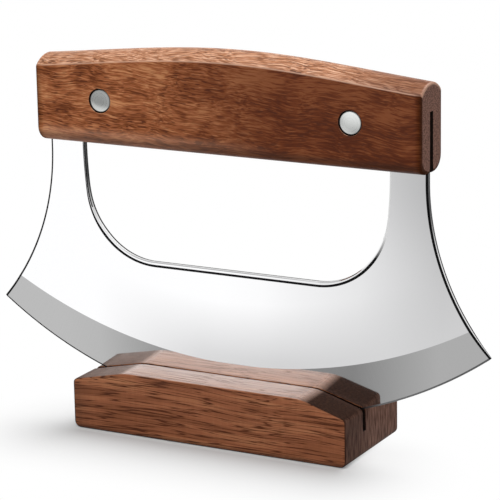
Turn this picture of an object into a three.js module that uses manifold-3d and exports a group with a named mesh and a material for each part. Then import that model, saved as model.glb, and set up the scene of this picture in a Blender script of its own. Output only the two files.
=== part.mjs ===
// A rocking knife with a riveted wooden handle, standing on its edge in a slotted wooden stand.
// Millimetres, +Z up. X runs along the blade and the front is -Y. The origin is the centre of the
// footprint, under the middle of the blade, on the surface that the stand rests on.

import * as THREE from 'three';
import { mergeVertices } from 'three/addons/utils/BufferGeometryUtils.js';
import Module from 'manifold-3d';

const wasm = await Module();
wasm.setup();

// Blade: one steel plate with a closed finger opening, whose upper bar is hidden in the handle.
// Heights of the knife are measured from the lowest point of the cutting edge. Each tip flares past
// the leg above it by flareRun. The ground faces leave grindFootThickness of steel at the edge, which
// a narrow second bevel sharpens. The opening's sides are arcs that stand upright where they meet the
// handle's underside, and it runs past that underside by openingLap.
const bladeSpan = 178;
const bladeThickness = 2;
const edgeRadius = 150;
const grindWidthMiddle = 16.1;
const grindWidthTip = 10.5;
const grindFootThickness = 0.5;
const edgeBevelWidth = 0.5;
const edgeThickness = 0.1;
const flareRun = 21.1;
const flareHeight = 83;
const legWidth = 12.25;
const openingFloor = 45.65;
const openingHeight = 40.2;
const openingCornerRadius = 25.5;
const openingSideRadius = 160;
const openingLap = 3;
const tangCornerRadius = 2.5;

// Handle: one block with an arched, barrel-rounded top and a saw kerf for the blade's upper bar.
// handleEndHeight is the height of its ends, archRise is how much higher its middle is, and archEase
// is the share of the arch that levels out towards the ends.
const handleOverhang = 0.8;
const handleThickness = 15.1;
const handleEndHeight = 28.3;
const archRise = 5.35;
const archEase = 0.4;
const barrelRise = 3.1;
const bottomRoundWidth = 5.2;
const bottomRoundHeight = 4.3;
const endRound = 1;
const endEase = 0.6;
const kerfDepth = 19.35;
const kerfClearance = 0.2;

// Rivets: a tube half from the front and a pin half from the back, with heads in counterbores
const rivetFromEnd = 24;
const rivetFromTangTop = 4;
const rivetHeadDiameter = 7.3;
const rivetRimHeight = 1;
const rivetDomeHeight = 0.6;
const rivetTubeDiameter = 4.2;
const rivetPinDiameter = 2.5;
const rivetPinChamfer = 0.3;
const counterboreDepth = 1.6;
const counterboreClearance = 0.35;
const shankClearance = 0.25;
const pinClearance = 0.2;
const seatGap = 0.25;

// Stand: one block with sloped ends, sawn lengthways to take the cutting edge. frontCheek is the
// wood in front of the slot.
const standLength = 100.1;
const standDepth = 39;
const standHeight = 20.8;
const slopeDropLeft = 4.2;
const slopeDropRight = 4.9;
const slopeRunLeft = 19.3;
const slopeRunRight = 15.6;
const slopeRound = 22;
const endTopRound = 1.6;
const baseRound = 2.2;
const standEase = 0.5;
const frontCheek = 12.6;
const slotClearance = 0.1;
const slotFloor = 8.5;
const restGap = 0.3;

// The knife stands a little to the right of the stand's middle
const knifeShift = 4.55;

// How finely curves are cut into facets, and how far a cutter reaches past what it cuts
const outlineSegments = 24;
const roundSegments = 5;
const easeSegments = 3;
const latheSegments = 24;
const loftSteps = 28;
const overcut = 1;
const grindOverrun = 5;

// Sizes and places that follow from the ones above
const tipAngle = Math.asin(bladeSpan / 2 / edgeRadius);
const tipHeight = edgeRadius * (1 - Math.cos(tipAngle));
const legSpan = bladeSpan - 2 * flareRun;
const handleLength = legSpan + 2 * handleOverhang;
const handleHeight = openingFloor + openingHeight;
const kerfTop = handleHeight + kerfDepth;
const kerfWidth = bladeThickness + 2 * kerfClearance;
const tangTop = kerfTop - seatGap;
const rivetX = handleLength / 2 - rivetFromEnd;
const rivetHeight = tangTop - rivetFromTangTop;
const headSeat = handleThickness / 2 - counterboreDepth + seatGap;
const boreDiameter = rivetTubeDiameter + 2 * shankClearance;
const counterboreDiameter = rivetHeadDiameter + 2 * counterboreClearance;
const slotWidth = bladeThickness + 2 * slotClearance;
const slotY = -standDepth / 2 + frontCheek + slotWidth / 2;

function toSolid(geometry) {
  const plain = geometry.clone();
  plain.deleteAttribute('normal');
  plain.deleteAttribute('uv');
  const merged = mergeVertices(plain);
  return new wasm.Manifold(new wasm.Mesh({
    numProp: 3,
    vertProperties: new Float32Array(merged.attributes.position.array),
    triVerts: new Uint32Array(merged.index.array),
  }));
}

function toGeometry(solid) {
  const mesh = solid.getMesh();
  const geometry = new THREE.BufferGeometry();
  geometry.setAttribute('position', new THREE.BufferAttribute(mesh.vertProperties, mesh.numProp));
  geometry.setIndex(new THREE.BufferAttribute(mesh.triVerts, 1));
  geometry.computeVertexNormals();
  return geometry;
}

// A solid box from its lowest to its highest corner
function box(low, high) {
  const size = high.clone().sub(low);
  const middle = low.clone().add(high).multiplyScalar(0.5);
  const geometry = new THREE.BoxGeometry(size.x, size.y, size.z);
  return toSolid(geometry.translate(middle.x, middle.y, middle.z));
}

// A solid rod along Y, from one depth to another
function rodAlongY(diameter, x, z, fromY, toY) {
  const geometry = new THREE.CylinderGeometry(diameter / 2, diameter / 2, toY - fromY, latheSegments);
  return toSolid(geometry.translate(x, (fromY + toY) / 2, z));
}

// An outline in the XZ plane, drawn as a shape in XY and extruded along Y from one depth to another
function extrudeAlongY(shape, fromY, toY, ease, curveSegments) {
  const geometry = new THREE.ExtrudeGeometry(shape, {
    depth: toY - fromY - 2 * ease,
    bevelEnabled: ease > 0,
    bevelThickness: ease,
    bevelSize: ease,
    bevelOffset: -ease,
    bevelSegments: easeSegments,
    curveSegments,
  });
  geometry.rotateX(Math.PI / 2);
  return toSolid(geometry.translate(0, toY - ease, 0));
}

// A solid skin over convex rings of equal count, each turning from +Y towards +Z, listed along +X
function loft(rings) {
  const count = rings[0].length;
  const last = (rings.length - 1) * count;
  const triangles = [];
  for (let j = 0; j < count; j += 1) {
    const next = (j + 1) % count;
    for (let base = 0; base < last; base += count) {
      triangles.push(base + j, base + count + next, base + count + j);
      triangles.push(base + j, base + next, base + count + next);
    }
  }
  for (let j = 1; j < count - 1; j += 1) {
    triangles.push(0, j + 1, j);
    triangles.push(last, last + j, last + j + 1);
  }
  const geometry = new THREE.BufferGeometry().setFromPoints(rings.flat());
  geometry.setIndex(triangles);
  return toSolid(geometry);
}

// A closed outline with a round at each corner; corners are [x, y, radius], counter-clockwise
function roundedShape(corners) {
  const shape = new THREE.Shape();
  corners.forEach(([x, y, radius], i) => {
    const [beforeX, beforeY] = corners.at(i - 1);
    const [afterX, afterY] = corners[(i + 1) % corners.length];
    const corner = new THREE.Vector2(x, y);
    const backward = new THREE.Vector2(beforeX - x, beforeY - y).normalize();
    const onward = new THREE.Vector2(afterX - x, afterY - y).normalize();
    const halfAngle = backward.angleTo(onward) / 2;
    const bisector = backward.clone().add(onward).normalize();
    const centre = corner.clone().addScaledVector(bisector, radius / Math.sin(halfAngle));
    const setback = radius / Math.tan(halfAngle);
    const start = corner.clone().addScaledVector(backward, setback).sub(centre);
    const end = corner.clone().addScaledVector(onward, setback).sub(centre);
    shape.absarc(centre.x, centre.y, radius, start.angle(), end.angle(), false);
  });
  shape.closePath();
  return shape;
}

// The finger opening's outline, as wide as openingX to each side at the handle's underside. A round
// corner and a flatter side arc meet where both lean by the same angle.
function openingPath(openingX) {
  const cornerZ = openingFloor + openingCornerRadius;
  const radiusStep = openingSideRadius - openingCornerRadius;
  const lean = Math.asin((handleHeight - cornerZ) / radiusStep);
  const sideX = openingX - openingSideRadius;
  const cornerX = sideX + radiusStep * Math.cos(lean);
  const lapX = openingX - openingLap;
  const quarterTurn = Math.PI / 2;
  const halfTurn = Math.PI;

  const path = new THREE.Path();
  path.absarc(cornerX, cornerZ, openingCornerRadius, -quarterTurn, -lean, false);
  path.absarc(sideX, handleHeight, openingSideRadius, -lean, 0, false);
  path.absarc(lapX, handleHeight, openingLap, 0, quarterTurn, false);
  path.absarc(-lapX, handleHeight, openingLap, quarterTurn, halfTurn, false);
  path.absarc(-sideX, handleHeight, openingSideRadius, halfTurn, halfTurn + lean, false);
  path.absarc(-cornerX, cornerZ, openingCornerRadius, halfTurn + lean, halfTurn + quarterTurn, false);
  path.closePath();
  return path;
}

// The plate's outline: the curved edge, an outward flare at each end, and the bar in the handle
function bladeShape() {
  const legX = legSpan / 2;
  const flareDrop = flareHeight - tipHeight;
  const flareRadius = (flareDrop ** 2 + flareRun ** 2) / (2 * flareRun);
  const flareAngle = Math.atan2(flareDrop, flareRadius - flareRun);
  const cornerX = legX - tangCornerRadius;
  const cornerZ = tangTop - tangCornerRadius;
  const down = -Math.PI / 2;

  const shape = new THREE.Shape();
  shape.absarc(0, edgeRadius, edgeRadius, down - tipAngle, down + tipAngle, false);
  shape.absarc(legX + flareRadius, flareHeight, flareRadius, flareAngle - Math.PI, -Math.PI, true);
  shape.absarc(cornerX, cornerZ, tangCornerRadius, 0, Math.PI / 2, false);
  shape.absarc(-cornerX, cornerZ, tangCornerRadius, Math.PI / 2, Math.PI, false);
  shape.absarc(-legX - flareRadius, flareHeight, flareRadius, 0, -flareAngle, true);

  shape.holes.push(openingPath(legX - legWidth));
  return shape;
}

// Width of the ground face: it narrows from the middle of the edge towards the tips
function grindWidth(angle) {
  return grindWidthMiddle + (grindWidthTip - grindWidthMiddle) * (angle / tipAngle) ** 2;
}

// The waste that grinding takes off one side of the plate, as far as width(angle) from the edge.
// Angles turn about the centre of the edge's arc. The ground face runs straight from half of one
// thickness at its upper line to half of another at the edge.
function grindWaste(side, width, upperThickness, edgeEndThickness) {
  const reach = tipAngle + grindOverrun / edgeRadius;
  const outside = bladeThickness / 2 + overcut;
  const outerRadius = edgeRadius + overcut;
  const rings = [];
  for (let i = 0; i <= loftSteps; i += 1) {
    const angle = reach * (2 * i / loftSteps - 1);
    const innerRadius = edgeRadius - width(angle) - overcut;
    const slope = (upperThickness - edgeEndThickness) / 2 / width(angle);
    const profile = [
      [innerRadius, upperThickness / 2 + slope * overcut],
      [outerRadius, edgeEndThickness / 2 - slope * overcut],
      [outerRadius, outside],
      [innerRadius, outside],
    ];
    const ring = profile.map(([radius, half]) => new THREE.Vector3(
      radius * Math.sin(angle),
      side * half,
      edgeRadius - radius * Math.cos(angle),
    ));
    rings.push(side > 0 ? ring : ring.reverse());
  }
  return loft(rings);
}

function makeBlade() {
  const half = bladeThickness / 2;
  let blade = extrudeAlongY(bladeShape(), -half, half, 0, outlineSegments);
  for (const side of [-1, 1]) {
    blade = blade.subtract(grindWaste(side, grindWidth, bladeThickness, grindFootThickness));
    blade = blade.subtract(grindWaste(side, () => edgeBevelWidth, grindFootThickness, edgeThickness));
    const bore = rodAlongY(boreDiameter, side * rivetX, rivetHeight, -half - overcut, half + overcut);
    blade = blade.subtract(bore);
  }
  return toGeometry(blade);
}

// How far the handle's top has dropped from its crown, at a distance from the middle
function archDrop(x) {
  const share = Math.abs(x) / (handleLength / 2);
  const parabola = share ** 2;
  const raisedCosine = Math.sin(share * Math.PI / 2) ** 2;
  return archRise * ((1 - archEase) * parabola + archEase * raisedCosine);
}

// Depth of a quarter round of the given radius, at a distance from the end that it rounds
function roundDepth(radius, distance) {
  const run = Math.max(radius - distance, 0);
  return radius - Math.sqrt(radius ** 2 - run ** 2);
}

// The handle's cross-section: flat cheeks, a barrel-rounded top and rounded lower edges
function handleRing(x) {
  const fromEnd = handleLength / 2 - Math.abs(x);
  const ease = roundDepth(endEase, fromEnd);
  const bottom = handleHeight + Math.max(roundDepth(endRound, fromEnd), ease);
  const top = handleHeight + handleEndHeight + archRise - archDrop(x) - ease;
  const half = handleThickness / 2 - ease;
  const barrelRadius = (half ** 2 + barrelRise ** 2) / (2 * barrelRise);
  const crownStart = Math.acos(half / barrelRadius);
  const roundY = half - bottomRoundWidth;
  const roundZ = bottom + bottomRoundHeight;
  const down = -Math.PI / 2;

  const section = new THREE.Path();
  section.absellipse(roundY, roundZ, bottomRoundWidth, bottomRoundHeight, down, 0, false, 0);
  section.absarc(0, top - barrelRadius, barrelRadius, crownStart, Math.PI - crownStart, false);
  section.absellipse(-roundY, roundZ, bottomRoundWidth, bottomRoundHeight, -Math.PI, down, false, 0);
  return section.getPoints(roundSegments + 1).map(({ x: y, y: z }) => new THREE.Vector3(x, y, z));
}

function makeHandle() {
  const end = handleLength / 2;
  const stations = [];
  for (let i = 0; i <= loftSteps; i += 1) {
    stations.push((end - endRound) * (2 * i / loftSteps - 1));
  }
  for (let i = 1; i <= roundSegments; i += 1) {
    const x = end - endRound * (1 - Math.sin(i / roundSegments * Math.PI / 2));
    stations.push(x);
    stations.unshift(-x);
  }
  let handle = loft(stations.map(handleRing));

  const kerfLow = new THREE.Vector3(-end - overcut, -kerfWidth / 2, handleHeight - overcut);
  const kerfHigh = new THREE.Vector3(end + overcut, kerfWidth / 2, kerfTop);
  handle = handle.subtract(box(kerfLow, kerfHigh));

  const face = handleThickness / 2;
  const seat = face - counterboreDepth;
  for (const x of [-rivetX, rivetX]) {
    handle = handle.subtract(rodAlongY(boreDiameter, x, rivetHeight, -face, face));
    handle = handle.subtract(rodAlongY(counterboreDiameter, x, rivetHeight, -face - overcut, -seat));
    handle = handle.subtract(rodAlongY(counterboreDiameter, x, rivetHeight, seat, face + overcut));
  }
  return toGeometry(handle);
}

// The domed head of a rivet, carried on from a shank's profile and ending on the axis
function addHead(profile, seatY) {
  const radius = rivetHeadDiameter / 2;
  const domeRadius = (radius ** 2 + rivetDomeHeight ** 2) / (2 * rivetDomeHeight);
  const rim = seatY + rivetRimHeight;
  profile.lineTo(radius, seatY);
  profile.lineTo(radius, rim);
  const centre = rim + rivetDomeHeight - domeRadius;
  profile.absarc(0, centre, domeRadius, Math.acos(radius / domeRadius), Math.PI / 2, false);
}

// The tube half, turned about Y: a blind bore that takes the pin, and a head at +Y. The underside of
// a seated head lies headSeat from the handle's middle.
function makeRivetTube() {
  const boreRadius = rivetPinDiameter / 2 + pinClearance;
  const tubeRadius = rivetTubeDiameter / 2;
  const openEnd = -headSeat + seatGap;
  const profile = new THREE.Path();
  profile.moveTo(0, headSeat);
  profile.lineTo(boreRadius, headSeat);
  profile.lineTo(boreRadius, openEnd);
  profile.lineTo(tubeRadius, openEnd);
  profile.lineTo(tubeRadius, headSeat);
  addHead(profile, headSeat);
  return new THREE.LatheGeometry(profile.getPoints(roundSegments), latheSegments);
}

// The pin half, turned about Y: a chamfered pin that fills the tube, and a head at +Y
function makeRivetPin() {
  const radius = rivetPinDiameter / 2;
  const tip = -headSeat + seatGap;
  const profile = new THREE.Path();
  profile.moveTo(0, tip);
  profile.lineTo(radius - rivetPinChamfer, tip);
  profile.lineTo(radius, tip + rivetPinChamfer);
  profile.lineTo(radius, headSeat);
  addHead(profile, headSeat);
  return new THREE.LatheGeometry(profile.getPoints(roundSegments), latheSegments);
}

// The block's side outline: a flat top that falls away to both ends
function standShape() {
  const end = standLength / 2;
  return roundedShape([
    [-end, 0, baseRound],
    [end, 0, baseRound],
    [end, standHeight - slopeDropRight, endTopRound],
    [end - slopeRunRight, standHeight, slopeRound],
    [slopeRunLeft - end, standHeight, slopeRound],
    [-end, standHeight - slopeDropLeft, endTopRound],
  ]);
}

// Two cheeks with eased edges stand on one floor, as the saw and the sanding leave the block
function makeStand() {
  const front = -standDepth / 2;
  const slotFront = slotY - slotWidth / 2;
  const slotBack = slotY + slotWidth / 2;
  const outline = standShape();
  const frontSide = extrudeAlongY(outline, front, slotFront, standEase, roundSegments);
  const backSide = extrudeAlongY(outline, slotBack, -front, standEase, roundSegments);
  const lap = standEase + overcut;
  const core = extrudeAlongY(outline, slotFront - lap, slotBack + lap, 0, roundSegments);
  const floorLow = new THREE.Vector3(-standLength, front, -overcut);
  const floorHigh = new THREE.Vector3(standLength, -front, slotFloor);
  const floor = core.intersect(box(floorLow, floorHigh));
  return toGeometry(frontSide.add(backSide).add(floor));
}

function addPart(parent, name, geometry, color, roughness, metalness) {
  const mesh = new THREE.Mesh(geometry, new THREE.MeshStandardMaterial({ color, roughness, metalness }));
  mesh.name = name;
  parent.add(mesh);
  return mesh;
}

const part = new THREE.Group();
const stand = addPart(part, 'stand', makeStand(), 0x5e3527, 0.5, 0);
stand.position.x = -knifeShift;

const knife = new THREE.Group();
knife.position.set(0, slotY, slotFloor + restGap);
part.add(knife);
addPart(knife, 'blade', makeBlade(), 0xd8d9da, 0.15, 1);
addPart(knife, 'handle', makeHandle(), 0x7a4528, 0.45, 0);
for (const [sideName, side] of [['left', -1], ['right', 1]]) {
  const tube = addPart(knife, `rivet_tube_${sideName}`, makeRivetTube(), 0xb9bbbb, 0.35, 1);
  tube.position.set(side * rivetX, 0, rivetHeight);
  tube.rotation.z = Math.PI;
  const pin = addPart(knife, `rivet_pin_${sideName}`, makeRivetPin(), 0xb9bbbb, 0.35, 1);
  pin.position.set(side * rivetX, 0, rivetHeight);
}

export default part;
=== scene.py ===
# %% [markdown]
# A rocking knife that stands on its cutting edge in a slotted block of wood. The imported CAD
# model is the fixed frame: it says where every piece is and how the knife lifts out of its
# stand. This lesson dresses that frame. Each piece is worked out again as a smooth numpy surface
# from the same sizes, so that it can carry fine edges and a material with real grain.

# %% Load the frame
import functools
import math

import bmesh
import bpy
import numpy as np
from mathutils import Matrix, Vector


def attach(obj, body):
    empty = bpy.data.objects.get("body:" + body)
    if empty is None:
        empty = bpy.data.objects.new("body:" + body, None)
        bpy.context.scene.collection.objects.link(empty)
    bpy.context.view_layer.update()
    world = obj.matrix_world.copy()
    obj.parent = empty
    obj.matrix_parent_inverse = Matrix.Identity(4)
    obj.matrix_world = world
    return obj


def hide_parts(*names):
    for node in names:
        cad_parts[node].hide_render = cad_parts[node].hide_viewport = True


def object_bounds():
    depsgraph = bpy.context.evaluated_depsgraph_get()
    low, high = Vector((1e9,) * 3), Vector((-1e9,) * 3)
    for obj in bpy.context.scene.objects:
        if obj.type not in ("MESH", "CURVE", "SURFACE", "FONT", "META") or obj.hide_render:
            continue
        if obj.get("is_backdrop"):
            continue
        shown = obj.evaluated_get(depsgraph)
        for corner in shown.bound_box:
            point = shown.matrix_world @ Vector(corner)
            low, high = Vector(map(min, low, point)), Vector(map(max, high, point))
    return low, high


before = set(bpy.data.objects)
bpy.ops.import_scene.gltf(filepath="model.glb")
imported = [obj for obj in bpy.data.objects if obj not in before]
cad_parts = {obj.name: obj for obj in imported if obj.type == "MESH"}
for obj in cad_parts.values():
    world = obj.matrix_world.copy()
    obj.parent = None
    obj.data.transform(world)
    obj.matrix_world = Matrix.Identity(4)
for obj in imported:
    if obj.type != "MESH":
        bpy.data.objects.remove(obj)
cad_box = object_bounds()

print("CAD nodes:", sorted(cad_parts))
print("CAD box in mm:", [[round(1000 * value, 1) for value in corner] for corner in cad_box])

# %% [markdown]
# The camera comes first, because every later choice is judged through it. The object was
# pictured from a long way off with a long lens, so its far side is hardly smaller than its near
# side. The place, the aim and the lens below are the ones at which the outlines of the CAD model
# line up.

# %% Camera
MM = 0.001
FRAME_PIXELS = 500
FOCAL_PIXELS = 2523.1
SENSOR_WIDTH = 36.0
CAMERA_AT = Vector((374.2, -695.3, 266.1)) * MM
AZIMUTH, ELEVATION, ROLL = (math.radians(angle) for angle in (28.1465, 14.5093, 1.003))


def add_object(name, data):
    """Puts a camera, a lamp or a mesh into the scene as an object."""
    made = bpy.data.objects.new(name, data)
    bpy.context.scene.collection.objects.link(made)
    return made


camera_data = bpy.data.cameras.new("long_lens")
camera_data.sensor_width = SENSOR_WIDTH
camera_data.lens = FOCAL_PIXELS / FRAME_PIXELS * SENSOR_WIDTH
camera = add_object("camera", camera_data)

backward = Vector((
    math.sin(AZIMUTH) * math.cos(ELEVATION),
    -math.cos(AZIMUTH) * math.cos(ELEVATION),
    math.sin(ELEVATION),
))
level = Vector((math.cos(AZIMUTH), math.sin(AZIMUTH), 0))
upward = backward.cross(level)
right = math.cos(ROLL) * level - math.sin(ROLL) * upward
top = math.sin(ROLL) * level + math.cos(ROLL) * upward
turn = Matrix((right, top, backward)).transposed()
camera.matrix_world = Matrix.Translation(CAMERA_AT) @ turn.to_4x4()
bpy.context.scene.camera = camera
print("Lens in mm:", round(camera_data.lens, 1))

# %% [markdown]
# A few small helpers serve every piece. One numbers the corners of a grid, so that a function of
# two parameters becomes faces. The others weld such patches into a closed mesh with smooth faces
# and crisp edges, and let it ride on its CAD body.

# %% Mesh helpers
SEAM_GAP, LEAST_EDGE = 0.001 * MM, 0.0001 * MM


def grid_quads(rows, columns, closed):
    """Corner numbers of a grid's quads: each point with its next one along and the two below
    them. Where the columns are closed, the last one is followed by the first."""
    row, column = np.meshgrid(
        np.arange(rows - 1), np.arange(columns - (not closed)), indexing="ij"
    )
    onward = (column + 1) % columns
    corners = [row * columns + column, row * columns + onward]
    corners += [(row + 1) * columns + onward, (row + 1) * columns + column]
    return np.stack(corners, axis=-1).reshape(-1, 4)


def weld(mesh):
    """Joins the seams of a mesh, drops faces without area and turns all faces outwards. Returns
    how many edges are left without a face on each side."""
    shell = bmesh.new()
    shell.from_mesh(mesh)
    bmesh.ops.remove_doubles(shell, verts=shell.verts, dist=SEAM_GAP)
    bmesh.ops.dissolve_degenerate(shell, edges=shell.edges, dist=LEAST_EDGE)
    bmesh.ops.recalc_face_normals(shell, faces=shell.faces)
    open_edges = sum(not edge.is_manifold for edge in shell.edges)
    shell.to_mesh(mesh)
    shell.free()
    return open_edges


def make_piece(name, patches, finishes, body, node, crease=30, closed=False):
    """A piece from patches (points[rows, columns, 3] in mm, finish number of all or of each
    face, a number of painted light, shade and abrasion of all or of each point), whose edges
    sharper than crease degrees stay crisp. It replaces a CAD node and rides on its body."""
    points, faces, numbers, light_and_wear_values, start = [], [], [], [], 0
    for grid, finish, light_and_wear in patches:
        rows, columns = grid.shape[:2]
        faces.append(grid_quads(rows, columns, closed) + start)
        points.append(grid.reshape(-1, 3) * MM)
        numbers.append(np.broadcast_to(finish, (rows - 1, columns - (not closed))).ravel())
        light_and_wear_values.append(np.broadcast_to(light_and_wear, (rows, columns)).ravel())
        start += rows * columns
    mesh = bpy.data.meshes.new(name)
    mesh.from_pydata(np.concatenate(points).tolist(), [], np.concatenate(faces).tolist())
    for finish in finishes:
        mesh.materials.append(finish)
    mesh.polygons.foreach_set("material_index", np.concatenate(numbers).astype(np.int32))
    painted_light_and_wear = mesh.attributes.new("painted_light_and_wear", "FLOAT", "POINT")
    painted_light_and_wear.data.foreach_set("value", np.concatenate(light_and_wear_values).astype(np.float32))
    open_edges = weld(mesh)
    mesh.shade_smooth()
    mesh.set_sharp_from_angle(angle=math.radians(crease))
    piece = add_object(name, mesh)
    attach(piece, body)
    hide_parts(node)
    print(name, "faces:", len(mesh.polygons), "open edges:", open_edges)


print("Quads of a grid of 3 by 3 points:", len(grid_quads(3, 3, False)))

# %% [markdown]
# Every finish is a graph of shader nodes, so a few helpers keep those short. One adds a node and
# feeds it: a value is set, a socket or another node is linked. One turns a hex colour to linear
# light, one starts a material, one sets the stops of a colour ramp, and one says what came out.
# Settings that repeat have a short name.

# %% Material helpers
SMOOTH = {"interpolation_type": "SMOOTHSTEP"}
COLOUR = {"data_type": "RGBA"}
TINT = {"data_type": "RGBA", "blend_type": "MULTIPLY"}
TIMES = {"operation": "MULTIPLY"}
LESS = {"operation": "SUBTRACT"}


def feed(node, inputs):
    """Gives a node's inputs values, or links from sockets or from the output in use of other
    nodes. A pair called From or To goes to the inputs of that name with Min and Max."""
    single = {key: value for key, value in inputs.items() if key not in ("From", "To")}
    for key in inputs.keys() - single.keys():
        single[key + " Min"], single[key + " Max"] = inputs[key]
    for key, value in single.items():
        if isinstance(value, bpy.types.Node):
            value = next(socket for socket in value.outputs if socket.enabled)
        if isinstance(value, bpy.types.NodeSocket):
            node.id_data.links.new(value, node.inputs[key])
        else:
            node.inputs[key].default_value = value


def add_node(tree, kind, inputs=None, **settings):
    """Adds a node, sets its properties and feeds its inputs."""
    made = tree.nodes.new("ShaderNode" + kind)
    for key, value in settings.items():
        setattr(made, key, value)
    feed(made, inputs or {})
    return made


def linear(code):
    """An sRGB hex colour as linear red, green, blue and alpha."""
    values = np.array([int(code[i:i + 2], 16) for i in (1, 3, 5)]) / 255
    curved = np.where(values <= 0.04045, values / 12.92, ((values + 0.055) / 1.055) ** 2.4)
    return (*curved.tolist(), 1.0)


def new_material(name, metallic, roughness):
    """A node material, the function that adds nodes to it, its shader, and where each point
    lies."""
    material = bpy.data.materials.new(name)
    material.use_nodes = True
    add = functools.partial(add_node, material.node_tree)
    shader = material.node_tree.nodes["Principled BSDF"]
    feed(shader, {"Metallic": metallic, "Roughness": roughness})
    return material, add, shader, add("TexCoord").outputs["Object"]


def set_ramp(ramp, stops):
    """Gives a colour ramp its stops, each a position and a hex colour, and returns it."""
    while len(ramp.color_ramp.elements) < len(stops):
        ramp.color_ramp.elements.new(1.0)
    for element, (position, code) in zip(ramp.color_ramp.elements, stops):
        element.position = position
        element.color = linear(code)
    return ramp


def tell(material):
    """Prints a material's name and the number of its nodes."""
    print(material.name, "nodes:", len(material.node_tree.nodes))


print("Middle grey in linear light:", round(linear("#808080")[0], 3))

# %% [markdown]
# The studio is a pale floor under soft lamps. Beside the stand's foot the floor is matt paper,
# which takes the shadow. Further out it turns into an even white for the camera and for
# reflections, as a lit sweep does, without any more light on the object.

# %% Studio floor
FLOOR_REACH = 4.0
FLOOR_GAP = 0.1 * MM
FADE_END = 45 * MM
FOOT_AT, FOOT_HALF = (-4.55 * MM, -22 * MM, 0), (47 * MM, 0, 1)
corners = [(-1, -1), (1, -1), (1, 1), (-1, 1)]
floor_mesh = bpy.data.meshes.new("floor")
floor_mesh.from_pydata(
    [(FLOOR_REACH * x, FLOOR_REACH * y, -FLOOR_GAP) for x, y in corners], [], [(0, 1, 2, 3)]
)
floor = add_object("floor", floor_mesh)
floor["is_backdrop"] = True

paint, add, shader, place = new_material("matt_white_paper_sweep", 0.0, 1.0)
feed(shader, {"Base Color": linear("#c0c0c0"), "Specular IOR Level": 0.0})
from_foot = add("VectorMath", {0: place, 1: FOOT_AT}, **LESS)
either_way = add("VectorMath", {0: from_foot}, operation="ABSOLUTE")
past_foot = add("VectorMath", {0: either_way, 1: FOOT_HALF}, **LESS)
beside_foot = add("VectorMath", {0: past_foot, 1: (0, 0, 0)}, operation="MAXIMUM")
distance = add("VectorMath", {0: beside_foot}, operation="LENGTH")
nearness = add("MapRange", {"Value": distance, "From Max": FADE_END, "To": (1.0, 0.0)})
still_paper = add("Math", {0: nearness, 1: 2.0}, operation="POWER")
far = add("Math", {0: 1.0, 1: still_paper}, **LESS)
ray = add("LightPath").outputs
direct = add("Math", {0: ray["Is Camera Ray"], 1: ray["Is Glossy Ray"]}, operation="MAXIMUM")
seen = add("Math", {0: direct, 1: ray["Is Transmission Ray"]}, operation="MAXIMUM")
share = add("Math", {0: far, 1: seen}, **TIMES)
white = add("Emission", {"Color": (1, 1, 1, 1), "Strength": 1.0})
sweep = add("MixShader", {0: share, 1: shader, 2: white})
feed(paint.node_tree.nodes["Material Output"], {"Surface": sweep})
floor_mesh.materials.append(paint)
print("Floor fades to white within mm of the foot:", round(FADE_END / MM))

# %% [markdown]
# The surround is white near the horizon and dim above, like a white wall under a dark ceiling.
# Metal shows that at once: faces that mirror the wall look white, and edges that mirror the
# ceiling draw a dark line; on the blade's edges that line is painted into the steel's colour too.
# The main softbox hangs behind the object, so that the shadow falls forwards, and a second one in
# front opens up the front faces.

# %% Studio light
world = bpy.data.worlds.new("white_wall_dark_ceiling")
world.use_nodes = True
bpy.context.scene.world = world
add = functools.partial(add_node, world.node_tree)
direction = add("TexCoord").outputs
height = add("SeparateXYZ", {"Vector": direction["Generated"]}).outputs
fade = add("MapRange", {"Value": height["Z"], "From": (0.28, 0.45), "To": (1.0, 0.12)}, **SMOOTH)
feed(world.node_tree.nodes["Background"], {"Color": (1, 1, 1, 1), "Strength": fade})


def softbox(name, place, aim, size, power):
    """A square soft lamp at a place in metres, turned to face its aim."""
    data = bpy.data.lights.new(name, "AREA")
    data.size = size
    data.energy = power
    lamp = add_object(name, data)
    lamp.location = place
    lamp.rotation_euler = (Vector(aim) - Vector(place)).to_track_quat("-Z", "Y").to_euler()


LAMP_AIM = (0, 0, 0.05)
softbox("key_softbox", (0.5, 0.8, 1.3), LAMP_AIM, size=1.1, power=21.0)
softbox("fill_softbox", (0.1, -0.5, 1.3), LAMP_AIM, size=1.0, power=15.0)
bpy.context.scene.view_settings.view_transform = "Standard"
print("Lamps:", [light.name for light in bpy.data.lights])

# %% [markdown]
# Polished steel shows whatever stands before it, so a glowing card is set up that only
# reflections see: its tones are painted reflections. The flat sides look at the round white glow
# on it, which falls off to grey towards its rim and on the right, a painted shade. The ground
# face is tilted down a little and looks just past that rim, at the grey of the card, a painted
# shadow of the table: that is why its border is so crisp. The rivets look at the upper part. A
# flap covers the table up to the stand, in the same painted grey.

# %% Glowing card
CARD_LEFT, CARD_RIGHT, FLAP_HEIGHT = -0.5, 0.45, 1 * MM


def glow_card(name, card_glow, y, height, flap_end):
    """An upright card at y that reaches up to a height, with a flap on the table. It glows
    with its material's painted tones, and only reflections see it."""
    rows = [(y, height), (y, FLAP_HEIGHT), (flap_end, FLAP_HEIGHT)]
    mesh = bpy.data.meshes.new(name)
    points = [(x, y, z) for y, z in rows for x in (CARD_LEFT, CARD_RIGHT)]
    mesh.from_pydata(points, [], [(0, 1, 3, 2), (2, 3, 5, 4)])
    mesh.materials.append(card_glow)
    card = add_object(name, mesh)
    card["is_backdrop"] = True
    for kind in ("camera", "diffuse", "transmission", "volume_scatter", "shadow"):
        setattr(card, "visible_" + kind, False)


print("Cards in mm across:", round((CARD_RIGHT - CARD_LEFT) / MM))
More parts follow.
